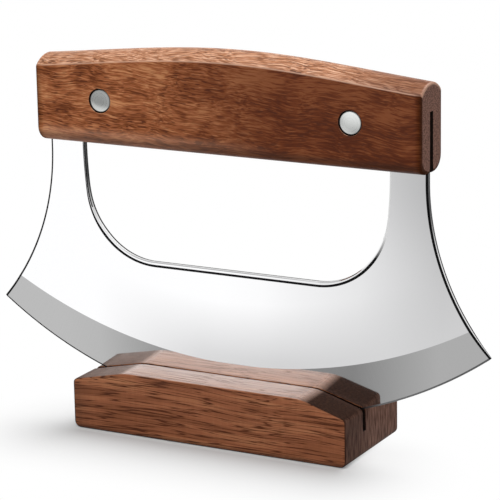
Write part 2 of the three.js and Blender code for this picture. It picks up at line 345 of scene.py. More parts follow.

# %% [markdown]
# The front card has a ramp from left to right for each of its glowing tones: the middle of the
# round, its rim, the card outside it and the upper part. The rim's grey is painted shade and the
# grey outside is painted shadow. The distance from the round's centre tells the first three
# apart, a soft painted shade darkens the right, and the height brings in the upper part.

# %% Round glow
CARD_Y = -45 * MM
ROUND_AT, ROUND_RADIUS, ROUND_RIM = (-21.9 * MM, CARD_Y, 199.3 * MM), 189.8 * MM, 0.8 * MM
SHADE_AT = (50 * MM, CARD_Y, 95 * MM)
card_glow, add, shader, place = new_material("painted_reflection_glow", 0.0, 1.0)
parts = add("SeparateXYZ", {"Vector": place}).outputs
across = add("MapRange", {"Value": parts["X"], "From": (-0.12, 0.08)})
white_tone = set_ramp(add("ValToRGB", {"Fac": across}), [
    (0.47, "#ffffff"), (0.55, "#fcfcfc"), (0.62, "#f3f3f3"), (0.73, "#e7e7e7"), (0.8, "#d8d8d8"),
    (0.88, "#c6c6c6"),
])
# Painted shade along the rim, next to the grind line.
rim_tone = set_ramp(add("ValToRGB", {"Fac": across}), [
    (0.22, "#ffffff"), (0.35, "#e8e8e8"), (0.43, "#dbdbdb"), (0.58, "#d3d3d3"), (0.78, "#d5d5d5"),
    (0.88, "#cecece"),
])
# Painted shadow of the table, for the ground face and the flap.
painted_shadow_tone = set_ramp(add("ValToRGB", {"Fac": across}), [
    (0.13, "#b7b7b7"), (0.21, "#b3b3b3"), (0.4, "#838383"), (0.72, "#808080"), (0.81, "#999999"),
    (0.88, "#a8a8a8"),
])
upper_ramp = set_ramp(add("ValToRGB", {"Fac": across}), [(0.35, "#a0a0a0"), (0.7, "#f4f4f4")])
from_round = add("VectorMath", {0: place, 1: ROUND_AT}, operation="DISTANCE")
inward = add("MapRange", {
    "Value": from_round, "From": (ROUND_RADIUS - 4 * MM, ROUND_RADIUS - 24 * MM),
})
round_tone = add("Mix", {0: inward, 6: rim_tone, 7: white_tone}, **COLOUR)
from_shade = add("VectorMath", {0: place, 1: SHADE_AT}, operation="DISTANCE")
right_shade = add("MapRange", {
    "Value": from_shade, "From": (10 * MM, 50 * MM), "To Min": 0.8,
}, **SMOOTH)
shaded_tone = add("Mix", {0: 1.0, 6: round_tone, 7: right_shade}, **TINT)
outside = add("MapRange", {
    "Value": from_round, "From": (ROUND_RADIUS - ROUND_RIM, ROUND_RADIUS + ROUND_RIM),
}, **SMOOTH)
lower_tone = add("Mix", {0: outside, 6: shaded_tone, 7: painted_shadow_tone}, **COLOUR)
brighten = add("MapRange", {"Value": parts["Z"], "From": (85 * MM, 120 * MM), "To": (0.65, 1.35)})
upper_tone = add("Mix", {0: 1.0, 6: upper_ramp, 7: brighten}, **TINT)
raised = add("MapRange", {"Value": parts["Z"], "From": (86 * MM, 93 * MM)}, **SMOOTH)
card_tone = add("Mix", {0: raised, 6: lower_tone, 7: upper_tone}, **COLOUR)
glow = add("Emission", {"Color": card_tone, "Strength": 1.1})
feed(card_glow.node_tree.nodes["Material Output"], {"Surface": glow})
glow_card("round_glowing_reflection_card", card_glow, CARD_Y, height=300 * MM, flap_end=-20 * MM)
print("Round reflector in mm:", round(ROUND_RADIUS / MM, 1))

# %% [markdown]
# The back of the blade gets a simpler glowing card, so that it looks like steel from behind
# too: its painted reflection is grey at the foot and white above, like the wall around it.

# %% Back card
back_card_glow, add, shader, place = new_material("painted_back_reflection_glow", 0.0, 1.0)
parts = add("SeparateXYZ", {"Vector": place}).outputs
# A painted reflection: grey at the foot and white above.
back_tone = add("MapRange", {
    "Value": parts["Z"], "From": (-5 * MM, 75 * MM), "To Min": 0.3,
}, **SMOOTH)
glow = add("Emission", {"Strength": back_tone})
feed(back_card_glow.node_tree.nodes["Material Output"], {"Surface": glow})
glow_card("back_glowing_reflection_card", back_card_glow, 34 * MM, height=120 * MM, flap_end=20 * MM)
tell(back_card_glow)

# %% [markdown]
# The blade is one steel plate, the same from both sides and at both ends, so a quarter of it is
# worked out and mirrored twice. All its lines are arcs: the cutting edge, the flare above each
# tip and the corners of the finger opening.

# %% Blade lines
KNIFE_AT = np.array([0.0, -5.8, 8.8])
EDGE_RADIUS, EDGE_REACH = 150.0, 89.0
GRIND_MIDDLE, GRIND_TIP = 16.1, 10.5
LEG_X, FLARE_RUN, FLARE_HEIGHT = 67.9, 21.1, 83.0
TANG_TOP, TANG_ROUND = 104.95, 2.5
HANDLE_LOW = 85.85
OPENING_X, OPENING_FLOOR, OPENING_TOP = 55.65, 45.65, HANDLE_LOW + 3.0
OPENING_ROUND, OPENING_SIDE, OPENING_TOP_ROUND = 25.5, 160.0, 3.0
CHAMFER, OUTER_LINE, SILL_LINE, BEND_LINE, LEG_LINE = 0.3, 0.45, 0.8, 0.95, 0.3
BEAD_SILL, BEAD_LEG, LIP_FADE, BEND_SHARE, LEG_SHARE = 0.6, 0.05, 25.0, 0.35, 0.7
INSET = CHAMFER + OUTER_LINE
TIP_ANGLE = math.asin(EDGE_REACH / EDGE_RADIUS)
TIP_DROP = FLARE_HEIGHT - EDGE_RADIUS * (1 - math.cos(TIP_ANGLE))
FLARE_RADIUS = (TIP_DROP ** 2 + FLARE_RUN ** 2) / (2 * FLARE_RUN)
FLARE_CENTRE = np.array([LEG_X + FLARE_RADIUS, FLARE_HEIGHT])


def line(start, end, count):
    """Points spread evenly from start to end."""
    share = np.linspace(0, 1, count)[:, None]
    return np.array(start) * (1 - share) + np.array(end) * share


def arc(centre, radius, start, end, count):
    """Points on a circle: centre + radius (cos, sin) of angles spread evenly from start to
    end."""
    angle = np.linspace(start, end, count)
    return np.array(centre) + radius * np.stack([np.cos(angle), np.sin(angle)], axis=-1)


def grind_width(angle):
    """Width of the ground face: it shrinks with the square of the angle from the middle to the
    tips."""
    return GRIND_MIDDLE + (GRIND_TIP - GRIND_MIDDLE) * (angle / TIP_ANGLE) ** 2


def from_edge(angle, height):
    """A point at an angle about the centre of the edge's arc and at a height above that edge."""
    radius = EDGE_RADIUS - height
    return np.stack([radius * np.sin(angle), EDGE_RADIUS - radius * np.cos(angle)], axis=-1)


def flare_angle(height):
    """The angle at which a line at height(angle) above the edge meets the chamfered flare, found
    by halving the range that holds it."""
    low, high = 0.5 * TIP_ANGLE, 1.1 * TIP_ANGLE
    for _ in range(50):
        middle = (low + high) / 2
        gap = np.linalg.norm(from_edge(middle, height(middle)) - FLARE_CENTRE, axis=-1)
        inside = gap > FLARE_RADIUS + INSET
        low, high = np.where(inside, middle, low), np.where(inside, high, middle)
    return (low + high) / 2


grind_end = flare_angle(grind_width)
print("Ground face ends at degrees:", round(math.degrees(float(grind_end)), 2))

# %% [markdown]
# The flat side runs from the finger opening out to the grind line, the flares and the bar that
# is hidden in the handle. Each of its two borders is a chain of arcs and straight lines, from
# the middle of the blade up its right half.

# %% Blade outline
GRIND_POINTS, FLARE_POINTS, ROUND_POINTS, BAR_POINTS = 90, 60, 8, 20
SILL_POINTS, BEND_POINTS, SIDE_POINTS, TOP_POINTS = 10, 48, 12, 6
grind_spread = np.linspace(0, grind_end, GRIND_POINTS)
grind_line = from_edge(grind_spread, grind_width(grind_spread))
from_centre = grind_line[-1] - FLARE_CENTRE
grind_turn = math.atan2(from_centre[1], from_centre[0]) % (2 * math.pi)
leg, shoulder = LEG_X - INSET, LEG_X - TANG_ROUND
tang, crown = TANG_TOP - TANG_ROUND, TANG_TOP - INSET
outer_half = np.concatenate([
    grind_line,
    arc(FLARE_CENTRE, FLARE_RADIUS + INSET, grind_turn, math.pi, FLARE_POINTS)[1:],
    line((leg, FLARE_HEIGHT), (leg, tang), ROUND_POINTS)[1:],
    arc((shoulder, tang), TANG_ROUND - INSET, 0, math.pi / 2, ROUND_POINTS)[1:],
    line((shoulder, crown), (0, crown), BAR_POINTS)[1:],
])
low_height = OPENING_FLOOR + OPENING_ROUND
side_turn = math.asin((HANDLE_LOW - low_height) / (OPENING_SIDE - OPENING_ROUND))
side_centre = (OPENING_X - OPENING_SIDE, HANDLE_LOW)
low_centre = (side_centre[0] + (OPENING_SIDE - OPENING_ROUND) * math.cos(side_turn), low_height)
high_centre = (OPENING_X - OPENING_TOP_ROUND, OPENING_TOP - OPENING_TOP_ROUND)
inner_half = np.concatenate([
    line((0, OPENING_FLOOR), (low_centre[0], OPENING_FLOOR), SILL_POINTS),
    arc(low_centre, OPENING_ROUND, -math.pi / 2, -side_turn, BEND_POINTS)[1:],
    arc(side_centre, OPENING_SIDE, -side_turn, 0, SIDE_POINTS)[1:],
    arc(high_centre, OPENING_TOP_ROUND, 0, math.pi / 2, TOP_POINTS)[1:],
    line((high_centre[0], OPENING_TOP), (0, OPENING_TOP), BAR_POINTS)[1:],
])
print("Points of the borders:", len(outer_half), len(inner_half))

# %% [markdown]
# The flat side is a ring, so it is drawn as one: at every angle seen from a hub inside the
# opening, points are spread from the inner border to the outer one.

# %% Blade side
HUB_HEIGHT, FLANK_HALF, FLANK_COLUMNS = 66.0, 1.0, 9


def from_hub(path):
    """The angles at which a path's points lie, seen from the hub, rounded so that equal ones
    meet."""
    return np.arctan2(path[:, 1] - HUB_HEIGHT, path[:, 0]).round(9)


turns = np.unique(np.concatenate([from_hub(outer_half), from_hub(inner_half)]))


def at_turns(path):
    """The path's points at all the angles, interpolated along it."""
    return np.stack([np.interp(turns, from_hub(path), path[:, k]) for k in (0, 1)], axis=-1)


def lay(flat, half):
    """Points (x, z) of the plate set at half a thickness in front of its middle plane."""
    return np.stack([flat[..., 0], np.broadcast_to(-half, flat.shape[:-1]), flat[..., 1]], axis=-1)


inner_rim, outer_rim = at_turns(inner_half), at_turns(outer_half)
on_grind = turns <= from_hub(grind_line)[-1]
edge_angles = np.arctan2(outer_rim[on_grind, 0], EDGE_RADIUS - outer_rim[on_grind, 1])
edge_angles[[0, -1]] = 0, grind_end
outer_rim[on_grind] = from_edge(edge_angles, grind_width(edge_angles))
spread = np.linspace(0, 1, FLANK_COLUMNS)[None, :, None]
flank = lay(inner_rim[:, None] * (1 - spread) + outer_rim[:, None] * spread, FLANK_HALF)
print("Flank grid:", flank.shape[:2])

# %% [markdown]
# Two faces make the edge. The ground face takes most of the thickness off over about fifteen
# millimetres, and a narrow sharpened face does the rest. Both are ruled surfaces: straight lines
# that point at the centre of the edge's arc.

# %% Blade bevels
GRIND_FOOT, EDGE_HALF, SHARP_WIDTH = 0.25, 0.05, 0.5
GROUND_COLUMNS, SHARP_COLUMNS = 8, 4


def ground_half(angle, height):
    """Half thickness of the ground face: foot + (flank - foot) height / width."""
    return GRIND_FOOT + (FLANK_HALF - GRIND_FOOT) * height / grind_width(angle)


def sharp_half(angle, height):
    """Half thickness of the sharpened face: edge + (foot - edge) height / sharpened width."""
    return EDGE_HALF + (GRIND_FOOT - EDGE_HALF) * height / SHARP_WIDTH


def sharp_height(angle):
    """Height above the edge at which the ground face and the sharpened face meet."""
    ground_slope = (FLANK_HALF - GRIND_FOOT) / grind_width(angle)
    sharp_slope = (GRIND_FOOT - EDGE_HALF) / SHARP_WIDTH
    return (GRIND_FOOT - EDGE_HALF) / (sharp_slope - ground_slope)


def edge_height(angle):
    """Height of the edge above itself: nothing, at every angle."""
    return 0 * angle


def bevel(upper, lower, half, columns):
    """A ruled face between two heights above the edge: columns share the way from upper to
    lower, and rows share the angle from the middle of the edge to the flare."""
    across = np.linspace(0, 1, columns)[None, :]

    def height(angle):
        return upper(angle) * (1 - across) + lower(angle) * across

    angle = (edge_angles / grind_end)[:, None] * flare_angle(height)
    return lay(from_edge(angle, height(angle)), half(angle, height(angle)))


ground = bevel(grind_width, sharp_height, ground_half, GROUND_COLUMNS)
sharp = bevel(sharp_height, edge_height, sharp_half, SHARP_COLUMNS)
edge = np.stack([sharp[:, -1], sharp[:, -1] * (1, 0, 1)], axis=1)
tilt = math.degrees(math.atan((FLANK_HALF - GRIND_FOOT) / GRIND_MIDDLE))
print("Ground grid:", ground.shape[:2], "tilt in degrees:", round(tilt, 2))

# %% [markdown]
# Every other edge of the plate is rolled over and chamfered a little by the polishing wheel. A
# dark line outlines the blade there: a painted dark reflection, given as the near-black finish of
# these strips. Around the finger opening the edge is rounded more, so a bright bead lies between
# the dark line and the wall. The line is widest in the lower bends, and line and bead both thin
# out up the legs. These strips follow the border of the faces.

# %% Blade walls


def rim(border, outward, widths):
    """The lip and half the wall along a border: strips between the border, the same points moved
    across it by each width in turn, then also by the chamfer at a share of their depth, and last
    at the middle plane."""
    along = np.gradient(border[:, [0, 2]], axis=0)
    along /= np.linalg.norm(along, axis=1)[:, None]
    across = outward * np.stack([along[:, 1], 0 * along[:, 0], -along[:, 0]], axis=-1)
    rows = [border]
    for width in widths:
        rows.append(rows[-1] + width * across)
    rows.append((rows[-1] + CHAMFER * across) * (1, 1 - CHAMFER, 1))
    rows.append(rows[-1] * (1, 0, 1))
    return [np.stack(pair, axis=1) for pair in zip(rows, rows[1:])]


above_grind = lay(outer_rim[~on_grind], FLANK_HALF)
border = np.concatenate([sharp[-1, ::-1], ground[-1, -2::-1], above_grind])
outer = rim(border, 1, [OUTER_LINE])
up_the_leg = np.clip((inner_rim[:, 1:] - OPENING_FLOOR) / LIP_FADE, 0, 1)
dark_line = np.interp(up_the_leg, [0, BEND_SHARE, 1], [SILL_LINE, BEND_LINE, LEG_LINE])
bead = BEAD_SILL + (BEAD_LEG - BEAD_SILL) * np.sqrt(up_the_leg)
inner = rim(lay(inner_rim, FLANK_HALF), -1, [dark_line, bead])
tip = np.stack([edge[-1], outer[-1][0]], axis=1)
tip_corner = np.stack([outer[0][[0, 0], 0], [outer[0][0, 1], outer[1][0, 1]]])
print("Outline points of a quarter:", len(border) + len(inner_rim))

# %% [markdown]
# The flat sides are polished on a buff until they mirror the room. What is left of the polishing
# is a faint drag along the blade, which shows as bands of slightly weaker gloss.

# %% Polished side
polished, add, shader, place = new_material("stainless_steel_polished", 1.0, 0.05)
stretched = add("VectorMath", {0: place, 1: (0.03, 1.0, 1.0)}, **TIMES)
strokes = add("TexNoise", {"Vector": stretched, "Scale": 1 / (0.5 * MM), "Detail": 3.0})
gloss = add("MapRange", {"Value": strokes, "From": (0.3, 0.7), "To": (0.04, 0.08)})
feed(shader, {"Base Color": linear("#f4f4f5"), "Roughness": gloss})
tell(polished)

# %% [markdown]
# The ground face comes off a fine wheel and a lap. Its scratches run up from the edge, so the
# noise changes only along the arc of the edge.

# %% Ground face
lapped, add, shader, place = new_material("stainless_steel_ground_and_lapped", 1.0, 0.05)
parts = add("SeparateXYZ", {"Vector": place}).outputs
rise = add("Math", {0: (EDGE_RADIUS + KNIFE_AT[2]) * MM, 1: parts["Z"]}, **LESS)
angle = add("Math", {0: parts["X"], 1: rise}, operation="ARCTAN2")
arc_length = add("Math", {0: angle, 1: EDGE_RADIUS * MM}, **TIMES)
wheel = add("CombineXYZ", {"X": arc_length})
scratches = add("TexNoise", {
    "Vector": wheel, "Scale": 1 / (0.35 * MM), "Detail": 4.0, "Roughness": 0.7,
})
lap_gloss = add("MapRange", {"Value": scratches, "From": (0.3, 0.7), "To": (0.03, 0.09)})
lap_tone = set_ramp(add("ValToRGB", {"Fac": scratches}), [(0.3, "#f6f6f6"), (0.7, "#fdfdfd")])
feed(shader, {"Base Color": lap_tone, "Roughness": lap_gloss})
tell(lapped)

# %% [markdown]
# Where the buff rolls over an edge, a narrow line mirrors the dark ceiling. Its near-black
# colour, with a little noise in it, is a painted dark reflection. Up the legs it gives way to
# bright steel, where the number at each point says so.

# %% Painted dark edge
painted_dark_edge, add, shader, place = new_material("stainless_steel_painted_dark_edge", 1.0, 0.4)
ripple = add("TexNoise", {"Vector": place, "Scale": 1 / (0.6 * MM), "Detail": 2.0})
# The near-black ramp paints the edge's dark reflection into its colour.
dark_edge_ramp = set_ramp(add("ValToRGB", {"Fac": ripple}), [(0.35, "#0b0b0c"), (0.7, "#222223")])
up_leg_attribute = add("Attribute", attribute_name="painted_light_and_wear")
bright_steel_share = add("MapRange", {"Value": up_leg_attribute.outputs["Fac"], "From": (0.45, 0.75)})
edge_tone = add("Mix", {0: bright_steel_share, 6: dark_edge_ramp, 7: linear("#f0f0f0")}, **COLOUR)
feed(shader, {"Base Color": edge_tone})
tell(painted_dark_edge)

# %% [markdown]
# The sharpened strip is a few tenths of a millimetre wide and looks steeply down at the table:
# into the shadow on the left and at the lit paper on the right. That reflection is painted into
# its colour, which goes from a black line on the left to a grey one on the right.

# %% Honed strip
honed_painted_reflection, add, shader, place = new_material("stainless_steel_honed_painted_reflection", 1.0, 0.3)
parts = add("SeparateXYZ", {"Vector": place}).outputs
ripple = add("TexNoise", {"Vector": place, "Scale": 1 / (0.6 * MM), "Detail": 2.0})
# A painted reflection: black on the left, grey towards the right.
reflection_place = add("Math", {0: ripple, 1: 8 * MM, 2: parts["X"]}, operation="MULTIPLY_ADD")
lit = add("MapRange", {"Value": reflection_place, "From": (-40 * MM, 50 * MM)}, **SMOOTH)
painted_reflection_tone = add("Mix", {0: lit, 6: linear("#101011"), 7: linear("#808081")}, **COLOUR)
feed(shader, {"Base Color": painted_reflection_tone})
tell(honed_painted_reflection)

# %% [markdown]
# The wall of a blanked plate is bright where the punch sheared it, near the front, and dark
# where it tore, near the back. Its bright part is brightest low down and dull under the handle:
# a painted shade, where the handle shades it.

# %% Sheared wall
sheared, add, shader, place = new_material("stainless_steel_sheared_wall", 1.0, 0.25)
parts = add("SeparateXYZ", {"Vector": place}).outputs
offset = add("Math", {0: parts["Y"], 1: KNIFE_AT[1] * MM}, **LESS)
shear_zone = add("MapRange", {"Value": offset, "From": (0.05 * MM, -0.15 * MM)}, **SMOOTH)
# Painted shade: the bright part dulls towards the handle.
out_of_handle_shade = add("MapRange", {
    "Value": parts["Z"], "From": (84 * MM, 66 * MM), "To Min": 0.03,
}, **SMOOTH)
bright_share = add("Math", {0: shear_zone, 1: out_of_handle_shade}, **TIMES)
ripple = add("TexNoise", {"Vector": place, "Scale": 1 / (0.8 * MM), "Detail": 2.0})
torn_tone = set_ramp(add("ValToRGB", {"Fac": ripple}), [(0.3, "#0c0c0d"), (0.7, "#242425")])
wall_tone = add("Mix", {0: bright_share, 6: torn_tone, 7: linear("#e4e4e4")}, **COLOUR)
feed(shader, {"Base Color": wall_tone})
tell(sheared)

# %% [markdown]
# With its finishes ready the blade is put together: the patches of a quarter are mirrored to the
# other end and the other side, and welded into one closed plate.

# %% Blade
# The dark edge finish is a painted dark reflection.
POLISHED, GROUND, DARK_EDGE, SHEARED, HONED = range(5)
lip_finish = np.where(up_the_leg[:-1] > LEG_SHARE, DARK_EDGE, POLISHED)
at_opening = np.arange(flank.shape[1])[None, :] == 0
inner_finishes = (DARK_EDGE, POLISHED, lip_finish, SHEARED)
quarter = [(flank, POLISHED, up_the_leg * at_opening), (ground, GROUND, 0.0)]
quarter += [(face, HONED, 0.0) for face in (sharp, edge)]
quarter += [(face, DARK_EDGE, 0.0) for face in (tip, tip_corner)]
quarter += [(face, finish, 0.0) for face, finish in zip(outer, (DARK_EDGE, DARK_EDGE, SHEARED))]
quarter += [(face, finish, up_the_leg) for face, finish in zip(inner, inner_finishes)]
plate = [
    (grid * (side_x, side_y, 1) + KNIFE_AT, finish, light_and_wear * (side_x > 0))
    for side_x in (1, -1) for side_y in (1, -1) for grid, finish, light_and_wear in quarter
]
steels = [polished, lapped, painted_dark_edge, sheared, honed_painted_reflection]
make_piece("knife_blade", plate, steels, "knife", "blade", crease=2)

# %% [markdown]
# The handle is one block of hardwood. Its cross-section is carried along its length: a flat
# underside with rounded edges, an upright cheek, a softened arris and a barrel-rounded top. The
# top follows an arch, and the ends are eased. Only the front half is worked out; the back is its
# mirror image.

# %% Handle section
HANDLE_END, HANDLE_CHEEK, HANDLE_END_HEIGHT = 68.7, 7.55, 28.3
ARCH_RISE, ARCH_EASE, BARREL_RISE = 5.35, 0.4, 3.1
BOTTOM_WIDE, BOTTOM_HIGH, END_ROUND, END_EASE, ARRIS_ROUND = 5.2, 4.3, 1.0, 0.6, 0.5
UNDER_STEPS, BEND_STEPS, BELOW_STEPS, ABOVE_STEPS, ARRIS_STEPS, BARREL_STEPS = 7, 7, 4, 5, 6, 23
KERF_HALF, KERF_TOP = 1.2, 105.2
RIVET_X, RIVET_Z = 44.7, 100.95
SEAT_REACH, SEAT_CELLS = 6.0, 12
seat_low, seat_high = RIVET_Z - SEAT_REACH, RIVET_Z + SEAT_REACH


def arch_drop(x):
    """Drop of the top from its crown: a share of a raised cosine, and a parabola for the
    rest."""
    share = np.abs(x) / HANDLE_END
    cosine = np.sin(share * math.pi / 2) ** 2
    return ARCH_RISE * ((1 - ARCH_EASE) * share ** 2 + ARCH_EASE * cosine)


def round_depth(radius, distance):
    """Depth of a quarter round at a distance from the end that it rounds."""
    run = np.maximum(radius - distance, 0)
    return radius - np.sqrt(radius ** 2 - run ** 2)


def sweep(start, end, steps):
    """Even steps from start to end as one row, which meets a column of stations in a grid."""
    return np.linspace(start, end, steps + 1)[None, :]


def handle_front(x):
    """The front half of the section at each station x: strips (y, z) from the kerf's lower edge
    to the crown. The arris is a curve that leaves the cheek upright and lands on the barrel's
    arc."""
    from_end = HANDLE_END - np.abs(x)
    ease = round_depth(END_EASE, from_end)
    low = HANDLE_LOW + np.maximum(round_depth(END_ROUND, from_end), ease)
    crown = HANDLE_LOW + HANDLE_END_HEIGHT + ARCH_RISE - arch_drop(x) - ease
    cheek = HANDLE_CHEEK - ease
    arris = crown - BARREL_RISE
    barrel = (cheek ** 2 + BARREL_RISE ** 2) / (2 * BARREL_RISE)
    landing = np.arcsin(cheek / barrel) - ARRIS_ROUND / barrel

    under = sweep(0, 1, UNDER_STEPS)
    bend = sweep(0, math.pi / 2, BEND_STEPS)[:, 1:]
    foot = low + BOTTOM_HIGH
    below = foot + (seat_low - foot) * sweep(0, 1, BELOW_STEPS)[:, 1:]
    beside = sweep(seat_low, seat_high, 2 * SEAT_CELLS)[:, 1:] + 0 * x
    rise = arris - ARRIS_ROUND - seat_high
    above = seat_high + rise * sweep(0, 1, ABOVE_STEPS)[:, 1:]
    upright = np.concatenate([below, beside, above], axis=1)
    around = landing * sweep(1, 0, BARREL_STEPS)
    barrel_y, barrel_z = barrel * np.sin(around), crown - barrel + barrel * np.cos(around)
    soft = sweep(0, 1, ARRIS_STEPS)[:, 1:-1]
    soft_y = (1 - soft ** 2) * cheek + soft ** 2 * barrel_y[:, :1]
    soft_z = (1 - soft) ** 2 * (arris - ARRIS_ROUND) + 2 * soft * (1 - soft) * arris
    strips_y = [KERF_HALF + (cheek - BOTTOM_WIDE - KERF_HALF) * under]
    strips_y += [cheek - BOTTOM_WIDE * (1 - np.sin(bend)), cheek + 0 * upright, soft_y, barrel_y]
    strips_z = [low + 0 * under, foot - BOTTOM_HIGH * np.cos(bend), upright]
    strips_z += [soft_z + soft ** 2 * barrel_z[:, :1], barrel_z]
    y, z = np.concatenate(strips_y, axis=1), np.concatenate(strips_z, axis=1)
    return np.stack([x + 0 * y, -y, z], axis=-1), low


print("Handle in mm, long and thick:", 2 * HANDLE_END, 2 * HANDLE_CHEEK)

# %% [markdown]
# The stations at which the section is set lie closer where more happens: evenly in cells across
# each rivet's seat, and in step with the turn of the rounds at the ends.

# %% Handle skin
MIDDLE_STATIONS, OUTER_STATIONS, ROUND_STATIONS = 30, 14, 12
quarter_turn = np.linspace(0, math.pi / 2, ROUND_STATIONS)
stations = np.unique(np.concatenate([
    np.linspace(0, RIVET_X - SEAT_REACH, MIDDLE_STATIONS),
    np.linspace(RIVET_X - SEAT_REACH, RIVET_X + SEAT_REACH, 2 * SEAT_CELLS + 1),
    np.linspace(RIVET_X + SEAT_REACH, HANDLE_END - END_ROUND, OUTER_STATIONS),
    HANDLE_END - END_ROUND * (1 - np.sin(quarter_turn)),
    HANDLE_END - END_EASE * (1 - np.sin(quarter_turn)),
]).round(6))
stations = np.concatenate([-stations[:0:-1], stations])
skin, handle_low = handle_front(stations[:, None])
print("Handle grid:", skin.shape[:2])

# %% [markdown]
# Each rivet's head sits in a counterbore. A hole could be cut with a boolean, but the cheek is
# already a grid, so a square block of it is bent into rings instead: the outermost ring stays
# square, the next ones become circles, and the inner ones drop to form the lip, the wall, the
# floor and the bore.

# %% Rivet seats
FOOT_ROW = UNDER_STEPS + BEND_STEPS
SEAT_ROW = FOOT_ROW + BELOW_STEPS
ARRIS_ROW = SEAT_ROW + 2 * SEAT_CELLS + ABOVE_STEPS + ARRIS_STEPS // 2
RING_NUMBERS = [0, 3, 4, 5, 6, 7, 8, 12]
RING_RADII = [0, 2.3, 2.35, 2.35, 4.0, 4.0, 4.08, 4.08]
RING_DEPTHS = [6.25, 6.25, 6.25, 1.6, 1.6, 0.1, 0, 0]
ROUND_RING, WALL_RING = 8, 7


def drill(grid, centre_x):
    """Bends the square block about a rivet into its seat. A point's ring is its larger distance
    from the centre in cells; its radius and depth follow from the ring, its direction from its
    cell."""
    first = np.argmin(np.abs(stations - centre_x)) - SEAT_CELLS
    across = 2 * SEAT_CELLS
    block = grid[first:first + across + 1, SEAT_ROW:SEAT_ROW + across + 1]
    cells = np.arange(-SEAT_CELLS, SEAT_CELLS + 1)
    along, up = np.meshgrid(cells, cells, indexing="ij")
    ring = np.maximum(np.abs(along), np.abs(up))
    turn = np.arctan2(up, along)
    radius = np.interp(ring, RING_NUMBERS, RING_RADII)
    square = np.clip((ring - ROUND_RING) / (SEAT_CELLS - ROUND_RING), 0, 1)
    circle_x, circle_z = centre_x + radius * np.cos(turn), RIVET_Z + radius * np.sin(turn)
    block[..., 0] = circle_x * (1 - square) + block[..., 0] * square
    block[..., 2] = circle_z * (1 - square) + block[..., 2] * square
    block[..., 1] += np.interp(ring, RING_NUMBERS, RING_DEPTHS)
    middles = np.abs(cells[:-1] + 0.5)
    seat = np.maximum(middles[:, None], middles[None, :]) < WALL_RING
    skin_finish[first:first + across, SEAT_ROW:SEAT_ROW + across] = seat


# Faces in the seats get the saw cut's dark finish: a painted shade in each recess.
skin_finish = np.zeros((skin.shape[0] - 1, skin.shape[1] - 1), int)
for side in (-1, 1):
    drill(skin, side * RIVET_X)
print("Faces in the seats:", int(skin_finish.sum()))

# %% [markdown]
# The kerf is a second skin with as many points as the first, folded inwards: it climbs from the
# lower edges to the kerf's top and crosses over. Both skins are closed by the end faces. A
# number at each point paints light and shade: above nothing a pale line along the arris, a
# painted highlight that is partly wear, a painted highlight along the foot's round on the left
# and a pale line at the top of each end; below nothing a painted shade where the ends round off.

# %% Handle kerf and painted marks
ARRIS_LINE_ROWS, ARRIS_LINE_END, FOOT_HIGHLIGHT, TOP_END_PALE, TOP_END_PALE_REACH = 1.2, 3.0, 0.3, 0.5, 0.4
FOOT_HIGHLIGHT_FROM, FOOT_HIGHLIGHT_RUN, HANDLE_END_SHADE, HANDLE_END_SHADE_REACH, CAP_BORDER = 20.0, 40.0, 0.9, 1.3, 0.05
section_rows = np.arange(skin.shape[1])
last_row = section_rows[-1]
climb = np.minimum(section_rows / ARRIS_ROW, 1)[None, :]
crossing = np.minimum((last_row - section_rows) / (last_row - ARRIS_ROW), 1)[None, :]
kerf_z = handle_low + (KERF_TOP - handle_low) * climb
kerf_y = -KERF_HALF * crossing + 0 * kerf_z
kerf = np.stack([stations[:, None] + 0 * kerf_z, kerf_y, kerf_z], axis=-1)

from_end = (HANDLE_END - np.abs(stations))[:, None]
near_end = np.exp(-(from_end / HANDLE_END_SHADE_REACH) ** 2)
# A pale line along the arris: a painted highlight, partly wear.
arris_highlight_and_wear = np.exp(-((section_rows - ARRIS_ROW) / ARRIS_LINE_ROWS) ** 2)
arris_highlight_and_wear = arris_highlight_and_wear * np.clip(from_end / ARRIS_LINE_END, 0, 1)
towards_left = np.clip((FOOT_HIGHLIGHT_FROM - stations[:, None]) / FOOT_HIGHLIGHT_RUN, 0, 1)
# A painted highlight along the foot's round, fading out to the right.
foot_highlight = FOOT_HIGHLIGHT * np.exp(-(section_rows - FOOT_ROW) ** 2) * towards_left
top_end_pale = TOP_END_PALE * np.exp(-(from_end / TOP_END_PALE_REACH) ** 2) * (section_rows > ARRIS_ROW)
# A painted shade where the ends round off, below the arris.
handle_end_shade = HANDLE_END_SHADE * near_end * (section_rows < ARRIS_ROW)
light_and_wear = np.maximum(np.maximum(arris_highlight_and_wear, foot_highlight), top_end_pale) - handle_end_shade
halves = []
for side in (1, -1):
    flip = np.array([1, side, 1])
    halves.append((skin * flip + KNIFE_AT, skin_finish, light_and_wear))
    halves.append((kerf * flip + KNIFE_AT, 1, 0.0))
    for end in (0, -1):
        border = (1 - CAP_BORDER) * skin[end] + CAP_BORDER * kerf[end]
        cap = np.stack([skin[end], border, kerf[end]])
        cap_light_and_wear = light_and_wear[end] * np.array([[1], [0], [0]])
        halves.append((cap * flip + KNIFE_AT, 0, cap_light_and_wear))
print("Pale points:", int((light_and_wear > 0.5).sum()), "grimy points:", int((light_and_wear < -0.5).sum()))

# %% [markdown]
# The handle looks like acacia: a warm, reddish brown with broad darker and lighter clouds, fine
# streaks that run slightly downhill and short dark pores, sanded and oiled to a low sheen. All
# of it is solid noise, stretched along the grain, so it runs through from face to face and shows
# as dots on the ends.

